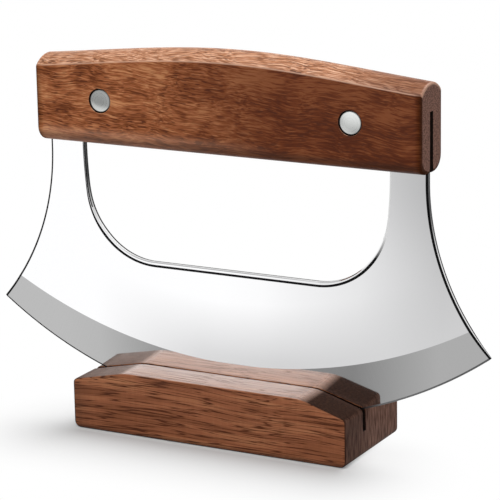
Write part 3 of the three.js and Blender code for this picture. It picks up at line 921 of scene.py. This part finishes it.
# %% Acacia grain
acacia, add, shader, place = new_material("acacia_sanded_and_oiled", 0.0, 0.45)
GRAIN_SHIFT, GRAIN_TURN = (-27 * MM, 20 * MM, 13 * MM), (0, math.radians(-4), 0)
downhill = add("Mapping", {"Vector": place, "Location": GRAIN_SHIFT, "Rotation": GRAIN_TURN})
wander = add("TexNoise", {"Vector": place, "Scale": 1 / (28 * MM), "Detail": 2.0})
bent = add("VectorMath", {
    0: wander.outputs["Color"], 1: (0, 7 * MM, 7 * MM), 2: downhill,
}, operation="MULTIPLY_ADD")
figure = {}
for kind, size, stretch, detail, roughness in (
    ("clouds", 12, 0.55, 3.0, 0.55),
    ("streaks", 0.45, 0.07, 2.0, 0.6),
    ("pores", 0.36, 0.13, 0.5, 0.5),
):
    stretched = add("VectorMath", {0: bent, 1: (stretch, 1, 1)}, **TIMES)
    figure[kind] = add("TexNoise", {
        "Vector": stretched, "Scale": 1 / (size * MM), "Detail": detail, "Roughness": roughness,
    })
clouds, streaks, pores = figure.values()
pore_share = add("MapRange", {"Value": clouds, "From": (0.6, 0.42), "To": (0.15, 0.85)})
pore_mask = add("MapRange", {
    "Value": pores, "From": (0.57, 0.66), "To Max": pore_share,
}, **SMOOTH)
cloud_part = add("Math", {0: clouds, 1: 0.45}, **TIMES)
tone = add("Math", {0: streaks, 1: 0.55, 2: cloud_part}, operation="MULTIPLY_ADD")
tell(acacia)

# %% [markdown]
# The same tone is coloured twice: as the cheek, which turns darker towards the right, and as the
# top, painted a paler orange for the light that falls on it from above, and darker towards its
# right end. The normal says which of the two a point belongs to. The lower round is painted
# darker and greyer: a painted shade under the handle.

# %% Acacia colours
facing = add("SeparateXYZ", {"Vector": place.node.outputs["Normal"]}).outputs
parts = add("SeparateXYZ", {"Vector": place}).outputs
cheek = set_ramp(add("ValToRGB", {"Fac": tone}), [
    (0.4, "#673519"), (0.47, "#8d4f2b"), (0.53, "#a3623d"), (0.61, "#c18559"),
])
# The cheek turns darker towards the right.
towards_right = add("MapRange", {"Value": parts["X"], "From": (-38 * MM, 26 * MM)}, **SMOOTH)
right_ramp = set_ramp(add("ValToRGB", {"Fac": tone}), [
    (0.41, "#4e210b"), (0.5, "#643014"), (0.59, "#7c4526"),
])
cheek_colour = add("Mix", {0: towards_right, 6: cheek, 7: right_ramp}, **COLOUR)
# The top's paler colour is painted light, where the top faces the lamps overhead.
lit_top_ramp = set_ramp(add("ValToRGB", {"Fac": streaks}), [
    (0.37, "#7d4f33"), (0.5, "#b07856"), (0.63, "#d3a78b"),
])
towards_end = add("MapRange", {"Value": parts["X"], "From": (34 * MM, 60 * MM)}, **SMOOTH)
lit_top_tone = add("Mix", {0: towards_end, 6: lit_top_ramp, 7: linear("#bcab9e")}, **TINT)
top_mask = add("MapRange", {"Value": facing["Z"], "From": (0.3, 0.62)}, **SMOOTH)
# The lower round is painted darker and greyer: a painted shade under the handle.
under_shade_mask = add("MapRange", {
    "Value": facing["Z"], "From": (-0.03, -0.45), "To Max": 0.5,
}, **SMOOTH)
under_shade_tone = add("Mix", {0: towards_right, 6: linear("#6a5346"), 7: linear("#3c2317")}, **COLOUR)
end_grain = set_ramp(add("ValToRGB", {"Fac": streaks}), [(0.36, "#402820"), (0.64, "#765345")])
endwise = add("Math", {0: facing["X"]}, operation="ABSOLUTE")
end_mask = add("MapRange", {"Value": endwise, "From": (0.75, 0.95)}, **SMOOTH)
colour = cheek_colour
for mask, layer in (
    (top_mask, lit_top_tone), (pore_mask, linear("#4b2413")),
    (under_shade_mask, under_shade_tone), (end_mask, end_grain),
):
    colour = add("Mix", {0: mask, 6: colour, 7: layer}, **COLOUR)
tell(acacia)

# %% [markdown]
# The marks go on last: pale where the number is above nothing, the painted highlights (partly
# wear on the arris), and dark where it is below, the painted shade. Open pores catch less
# light, so they are sunk by the bump, and the streaks vary the gloss.

# %% Acacia painted marks
light_and_wear_input = add("Attribute", attribute_name="painted_light_and_wear")
# Pale where the number is above nothing: the painted highlights.
highlight_and_wear_share = add("MapRange", {"Value": light_and_wear_input.outputs["Fac"], "To Max": 0.75})
highlight_and_wear = add("Mix", {0: highlight_and_wear_share, 6: colour, 7: linear("#d0a78e")}, **COLOUR)
# Dark where the number is below nothing: the painted shade at the ends.
darkened_share = add("MapRange", {
    "Value": light_and_wear_input.outputs["Fac"], "From Max": -1.0, "To Max": 0.85,
})
darkened = add("Mix", {0: darkened_share, 6: highlight_and_wear, 7: linear("#2b1a12")}, **COLOUR)
side_shine = add("MapRange", {"Value": top_mask, "To": (0.1, 0.3)})
face_shine = add("MapRange", {"Value": end_mask, "To": (side_shine, 0.03)})
dulled = add("MapRange", {"Value": darkened_share, "From Max": 0.4, "To": (face_shine, 0.0)})
sheen = add("MapRange", {"Value": streaks, "From": (0.3, 0.7), "To": (0.5, 0.36)})
relief = add("Math", {0: streaks, 1: pore_mask}, **LESS)
bump = add("Bump", {"Height": relief, "Strength": 0.25, "Distance": 0.12 * MM})
feed(shader, {"Base Color": darkened, "Specular IOR Level": dulled})
feed(shader, {"Roughness": sheen, "Normal": bump})
tell(acacia)

# %% [markdown]
# Inside the saw cuts no oil and hardly any light reaches the wood, so the kerf of the handle,
# the slot of the stand and the rivets' seats share a dark, rough finish: a painted shade.

# %% Saw cut shade
recess_shade, add, shader, place = new_material("hardwood_painted_recess_shade", 0.0, 0.9)
tooth_marks = add("TexNoise", {"Vector": place, "Scale": 1 / (0.7 * MM), "Detail": 2.0})
# A painted shade for the recesses, with a little noise.
recess_shade_ramp = set_ramp(add("ValToRGB", {"Fac": tooth_marks}), [(0.35, "#0f0806"), (0.65, "#22130d")])
feed(shader, {"Base Color": recess_shade_ramp, "Specular IOR Level": 0.1})
make_piece("knife_handle", halves, [acacia, recess_shade], "knife", "handle", crease=50)

# %% [markdown]
# Two rivets hold the blade in its kerf. Each is a tube and a pin that press together, turned on
# a lathe, so each is a profile spun about its axis.

# %% Rivet profiles
HEAD_RADIUS, HEAD_SEAT, HEAD_RIM, HEAD_DOME, SHANK_END = 3.65, 6.2, 1.0, 0.6, -5.95
TUBE_RADIUS, TUBE_BORE, PIN_RADIUS, PIN_CHAMFER = 2.1, 1.45, 1.25, 0.3
RIM_ROUND, RIM_TURN = 0.2, math.radians(75)
DOME_POINTS, RIM_POINTS, SPIN_POINTS = 16, 5, 64
dome_radius = (HEAD_RADIUS ** 2 + HEAD_DOME ** 2) / (2 * HEAD_DOME)
dome_centre = HEAD_SEAT + HEAD_RIM + HEAD_DOME - dome_radius
rim_centre = (HEAD_RADIUS - RIM_ROUND, HEAD_SEAT + HEAD_RIM - RIM_ROUND)
dome_start = math.acos(rim_centre[0] / dome_radius)
dome = arc((0, dome_centre), dome_radius, dome_start, math.pi / 2, DOME_POINTS)
rim_round = arc(rim_centre, RIM_ROUND, 0, RIM_TURN, RIM_POINTS)
head = np.concatenate([[(HEAD_RADIUS, HEAD_SEAT)], rim_round, dome])
tube = [(0, HEAD_SEAT), (TUBE_BORE, HEAD_SEAT), (TUBE_BORE, SHANK_END)]
tube += [(TUBE_RADIUS, SHANK_END), (TUBE_RADIUS, HEAD_SEAT)]
pin = [(0, SHANK_END), (PIN_RADIUS - PIN_CHAMFER, SHANK_END)]
pin += [(PIN_RADIUS, SHANK_END + PIN_CHAMFER), (PIN_RADIUS, HEAD_SEAT)]


def lathe(profile, outward, centre):
    """A profile of (radius, distance) spun about the rivet's axis: x and z are the radius times
    the cosine and sine of the turn, and y is the distance outwards."""
    turn = np.linspace(0, 2 * math.pi, SPIN_POINTS, endpoint=False)[None, :]
    radius, distance = np.array(profile).T[:, :, None]
    y = outward * distance + 0 * turn
    return np.stack([radius * np.cos(turn), y, radius * np.sin(turn)], axis=-1) + centre


print("Rivet head in mm across:", 2 * HEAD_RADIUS)

# %% [markdown]
# The lathe leaves fine rings on the domed heads, which make them satin. A noise of the distance
# from the rivet's axis draws such rings, and one formula serves both rivets, because they lie
# alike on each side of the middle. Real tool marks are finer than the rings drawn here.

# %% Rivet finish
turned, add, shader, place = new_material("stainless_steel_turned_satin", 1.0, 0.3)
parts = add("SeparateXYZ", {"Vector": place}).outputs
aside = add("Math", {0: parts["X"]}, operation="ABSOLUTE")
from_axis = add("CombineXYZ", {"X": aside, "Z": parts["Z"]})
axis_point = (RIVET_X * MM, 0, (RIVET_Z + KNIFE_AT[2]) * MM)
radius = add("VectorMath", {0: from_axis, 1: axis_point}, operation="DISTANCE")
spun = add("CombineXYZ", {"X": radius})
rings = add("TexNoise", {"Vector": spun, "Scale": 1 / (0.25 * MM), "Detail": 3.0})
ring_gloss = add("MapRange", {"Value": rings, "From": (0.3, 0.7), "To": (0.24, 0.36)})
ring_tone = set_ramp(add("ValToRGB", {"Fac": rings}), [(0.3, "#c2c4c2"), (0.7, "#d0d2d0")])
feed(shader, {"Base Color": ring_tone, "Roughness": ring_gloss})
tell(turned)

# %% [markdown]
# Each rivet's tube has its head at the front and its pin has one at the back, so the same
# profiles are spun towards one side or the other.

# %% Rivets
for side, name in ((-1, "left"), (1, "right")):
    centre = KNIFE_AT + (side * RIVET_X, 0, RIVET_Z)
    for shank, kind, outward in ((tube, "tube", -1), (pin, "pin", 1)):
        turning = lathe(np.concatenate([shank, head]), outward, centre)
        make_piece(
            f"turned_rivet_{kind}_{name}", [(turning, 0, 0.0)], [turned], "knife",
            f"rivet_{kind}_{name}", closed=True,
        )

# %% [markdown]
# The stand is one block with sloped ends, sawn lengthways to take the edge. Its outline, seen
# from the front, is carried from the front face to the back face. At the slot the part of the
# outline above the slot's floor drops to that floor, which leaves two upright walls.

# %% Stand outline
STAND_AT = np.array([-4.55, 0.0, 0.0])
STAND_DEPTH, SLOT_FRONT, SLOT_BACK, SLOT_FLOOR = 39.0, -6.9, -4.7, 8.5
STAND_EASE, SLOT_EASE, ARC_STEPS, SPLIT = 0.5, 0.3, 9, 2.5
BLOCK = np.array([
    (-50.05, 0, 2.2), (50.05, 0, 2.2), (50.05, 15.9, 1.6),
    (34.45, 20.8, 22), (-30.75, 20.8, 22), (-50.05, 16.6, 1.6),
])


def rounded(inset):
    """The block's outline drawn inset: each corner (x, z, radius) becomes an arc between the
    feet of its tangents, about the same centre, with the inset taken off its radius."""
    corner, radius = BLOCK[:, :2], BLOCK[:, 2:]
    before, after = np.roll(corner, 1, axis=0) - corner, np.roll(corner, -1, axis=0) - corner
    before = before / np.linalg.norm(before, axis=1, keepdims=True)
    after = after / np.linalg.norm(after, axis=1, keepdims=True)
    half_angle = np.arccos((before * after).sum(axis=1, keepdims=True)) / 2
    middle = (before + after) / np.linalg.norm(before + after, axis=1, keepdims=True)
    centre = corner + middle * radius / np.sin(half_angle)
    start = corner + before * radius / np.tan(half_angle) - centre
    turn = np.arctan2(start[:, 1:], start[:, :1])
    turn = turn + (math.pi - 2 * half_angle) * np.linspace(0, 1, ARC_STEPS)[None, :]
    arcs = (radius - inset)[:, :, None] * np.stack([np.cos(turn), np.sin(turn)], axis=-1)
    return (centre[:, None] + arcs).reshape(-1, 2)


gaps = np.linalg.norm(np.roll(rounded(0), -1, axis=0) - rounded(0), axis=1)
splits = np.maximum(1, np.ceil(gaps / SPLIT)).astype(int)


def outline(inset):
    """The inset outline with its straight runs split evenly, alike at every inset."""
    loop = rounded(inset)
    first = np.repeat(np.arange(len(loop)), splits)
    step = np.arange(splits.sum()) - np.repeat(np.cumsum(splits) - splits, splits)
    share = (step / splits[first])[:, None]
    return loop[first] * (1 - share) + np.roll(loop, -1, axis=0)[first] * share


full = outline(0)
print("Stand outline points:", len(full))

# %% [markdown]
# Going from the front to the back, the outline grows through the eased edge of the front face,
# shrinks a little at the slot's lip, drops to the slot's floor, and comes back the same way. The
# saw cut's dark finish, a painted shade, goes on the faces between the two lips, where the
# outline lies above the slot's floor.

# %% Stand surfaces
LIP_BLEND, EASE_POINTS, CAP_POINTS, CAP_HEIGHT = 2.0, 7, 8, 9.0
above_floor = np.clip((full[:, 1:] - SLOT_FLOOR) / LIP_BLEND, 0, 1)
sawn = np.minimum(full, [np.inf, SLOT_FLOOR])
ease_turns = np.linspace(0, math.pi / 2, EASE_POINTS)


def set_at(loop, y):
    """An outline (x, z) set at a depth y."""
    return np.stack([loop[:, 0], np.full(len(loop), y), loop[:, 1]], axis=-1)


def eased(ease, y, inward, where=1.0):
    """Loops of a quarter round at a face: at each turn t the outline is inset by ease (1 - sin
    t), at a depth ease (1 - cos t) inward of y. The inset holds only where it is asked for."""
    return [
        set_at(
            full * (1 - where) + outline(ease * (1 - math.sin(t))) * where,
            y + inward * ease * (1 - math.cos(t)),
        )
        for t in ease_turns
    ]


front_face = eased(STAND_EASE, -STAND_DEPTH / 2, 1)
back_face = eased(STAND_EASE, STAND_DEPTH / 2, -1)[::-1]
front_lip = eased(SLOT_EASE, SLOT_FRONT, -1, above_floor)[::-1]
back_lip = eased(SLOT_EASE, SLOT_BACK, 1, above_floor)
cut = [set_at(sawn, SLOT_FRONT), set_at(sawn, SLOT_BACK)]
block_skin = np.stack(front_face + front_lip + cut + back_lip + back_face)
block_finish = np.zeros((len(block_skin) - 1, len(full)), int)
first_cut = len(front_face) + len(front_lip) - 1
block_finish[first_cut:first_cut + len(cut) + 1] = full[:, 1] > SLOT_FLOOR
middle = np.array([0, 0, CAP_HEIGHT])
shrink = np.linspace(1, 0, CAP_POINTS)[:, None, None]
caps = [
    (loop - middle) * (1, 0, 1) * shrink + middle + loop * (0, 1, 0)
    for loop in (front_face[0], back_face[-1])
]
print("Stand grid:", block_skin.shape[:2], "sawn faces:", int(block_finish.sum()))

# %% [markdown]
# The stand looks like sapele: straight, fine grain drawn by many long dark pore lines, with a
# faint ripple across it. Real pores are about a tenth of a millimetre wide, which no picture of
# the whole stand can show, so they are drawn coarser: a dark line runs wherever a stretched
# noise crosses its middle value.

# %% Sapele grain
sapele, add, shader, place = new_material("sapele_planed_and_oiled", 0.0, 0.3)
wander = add("TexNoise", {"Vector": place, "Scale": 1 / (60 * MM), "Detail": 1.0})
bent = add("VectorMath", {
    0: wander.outputs["Color"], 1: (0, 5 * MM, 5 * MM), 2: place,
}, operation="MULTIPLY_ADD")
figure = {}
for kind, size, source, stretch, detail, roughness in (
    ("bands", 3.5, bent, (0.06, 1, 1), 3.0, 0.6),
    ("lines", 0.8, bent, (0.03, 1, 1), 1.5, 0.55),
    ("ripples", 1.2, place, (1, 0.12, 0.12), 2.0, 0.5),
    ("risers", 0.7, place, (1, 1, 0.12), 2.0, 0.6),
):
    stretched = add("VectorMath", {0: source, 1: stretch}, **TIMES)
    figure[kind] = add("TexNoise", {
        "Vector": stretched, "Scale": 1 / (size * MM), "Detail": detail, "Roughness": roughness,
    })
bands, lines, ripples, risers = figure.values()
from_level = add("Math", {0: lines, 1: 0.5}, **LESS)
off_line = add("Math", {0: from_level}, operation="ABSOLUTE")
line_mask = add("MapRange", {"Value": off_line, "From": (0.06, 0.0)}, **SMOOTH)
band_part = add("Math", {0: bands, 1: 0.9}, **TIMES)
tone = add("Math", {0: ripples, 1: 0.1, 2: band_part}, operation="MULTIPLY_ADD")
tell(sapele)

# %% [markdown]
# Oil soaks into end grain and turns it nearly black. The sloped tops cut across the grain as
# well, the right one more steeply, so how far the wood has soaked follows from the way a face
# leans along the block. The level top is painted paler with fainter lines, a painted sheen. The
# foot is painted dark, a painted contact shadow, and the left end is darker along its edge.

# %% Sapele colours
facing = add("SeparateXYZ", {"Vector": place.node.outputs["Normal"]}).outputs
parts = add("SeparateXYZ", {"Vector": place}).outputs
on_top = add("MapRange", {"Value": facing["Z"], "From": (0.7, 0.9)}, **SMOOTH)
darker = add("MapRange", {"Value": parts["X"], "From Max": 40 * MM, "To Max": -0.06})
front_tone = add("Math", {0: tone, 1: darker})
wood = set_ramp(add("ValToRGB", {"Fac": front_tone}), [
    (0.32, "#75452b"), (0.5, "#92593c"), (0.68, "#ae7551"),
])
# The level top is painted paler and its lines fainter: a painted sheen.
lit_top_share = add("MapRange", {"Value": on_top, "To Max": 0.3})
lit_top = add("Mix", {0: lit_top_share, 6: wood, 7: linear("#cc8e62")}, **COLOUR)
line_depth = add("MapRange", {"Value": on_top, "To": (1.0, 0.6)})
line_share = add("Math", {0: line_mask, 1: line_depth}, **TIMES)
lined = add("Mix", {0: line_share, 6: lit_top, 7: linear("#4a2716")}, **COLOUR)
lean = add("MapRange", {"Value": facing["X"], "From Min": -1.0})
soak = set_ramp(add("ValToRGB", {"Fac": lean}), [
    (0.2, "#ffffff"), (0.39, "#e8e8e8"), (0.46, "#000000"), (0.54, "#000000"), (0.63, "#ffffff"),
])
upright_end = add("MapRange", {"Value": facing["X"], "From": (0.5, 0.9), "To Max": 0.45})
backward_share = add("MapRange", {
    "Value": parts["Y"], "From": (-11 * MM, 3 * MM), "To Min": upright_end,
}, **SMOOTH)
dark_end = set_ramp(add("ValToRGB", {"Fac": risers}), [(0.35, "#25130c"), (0.65, "#3b251a")])
pale_end = set_ramp(add("ValToRGB", {"Fac": risers}), [(0.35, "#3f281f"), (0.65, "#735549")])
end_grain = add("Mix", {0: backward_share, 6: dark_end, 7: pale_end}, **COLOUR)
finished = add("Mix", {0: soak, 6: lined, 7: end_grain}, **COLOUR)
light_and_wear_input = add("Attribute", attribute_name="painted_light_and_wear")
# Darker where the number says: the painted contact shadow at the foot, and the left end.
darkened_share = add("MapRange", {"Value": light_and_wear_input.outputs["Fac"], "From Max": -1.0})
darkened = add("Mix", {0: darkened_share, 6: finished, 7: linear("#1c100b")}, **COLOUR)
tell(sapele)

# %% [markdown]
# Soaked wood loses its gloss. On the level top the oil stands as a film with a dull veil, which
# breaks over the pores. Open pores are sunk by the bump.

# %% Sapele oil
side_gloss = add("MapRange", {"Value": on_top, "To": (0.12, 0.6)})
oil_gloss = add("MapRange", {"Value": soak, "To": (side_gloss, 0.05)})
unbroken = add("MapRange", {"Value": line_mask, "To": (on_top, 0.35)})
over_pores = add("Math", {0: unbroken, 1: on_top}, **TIMES)
film = add("MapRange", {"Value": soak, "To": (over_pores, 0.0)})
coat = add("Math", {0: film, 1: 0.75}, **TIMES)
rough = add("MapRange", {"Value": soak, "To": (0.26, 0.6)})
relief = add("Math", {0: ripples, 1: line_mask}, **LESS)
bump = add("Bump", {"Height": relief, "Strength": 0.2, "Distance": 0.12 * MM})
feed(shader, {"Base Color": darkened, "Specular IOR Level": oil_gloss, "Roughness": rough})
feed(shader, {"Normal": bump, "Coat Weight": coat, "Coat Roughness": 0.15})
feed(shader, {"Sheen Weight": film, "Sheen Roughness": 0.35})
tell(sapele)

# %% [markdown]
# The skin and the two flat faces close the block. It stays on its own body, because the knife
# lifts out of it.

# %% Stand
FOOT_SHADOW, FOOT_HEIGHT, LEFT_END_DARK, END_FROM, END_RUN = 0.9, 1.8, 0.8, 49.3, 0.6
# A painted contact shadow along the foot, and a darker left end.
foot_shadow = FOOT_SHADOW * np.clip(1 - block_skin[..., 2] / FOOT_HEIGHT, 0, 1)
left_end_dark = LEFT_END_DARK * np.clip((-block_skin[..., 0] - END_FROM) / END_RUN, 0, 1)
stand_darkening = -np.maximum(foot_shadow, left_end_dark)
cap_border = shrink[..., 0] == 1
surfaces = [(block_skin + STAND_AT, block_finish, stand_darkening)]
for cap, light_and_wear in zip(caps, stand_darkening[[0, -1]]):
    surfaces.append((cap + STAND_AT, 0, light_and_wear * cap_border))
woods = [sapele, recess_shade]
make_piece("stand_block", surfaces, woods, "stand", "stand", crease=50, closed=True)

# %% [markdown]
# Last the box of the dressed model is printed beside the box of the CAD model, since the looks
# must not change the size.

# %% Finish
boxes = {"cad": [list(corner) for corner in cad_box]}
boxes["visual"] = [list(corner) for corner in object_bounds()]
for name, (low, high) in boxes.items():
    print(name, "size in mm:", [round((b - a) / MM, 1) for a, b in zip(low, high)])
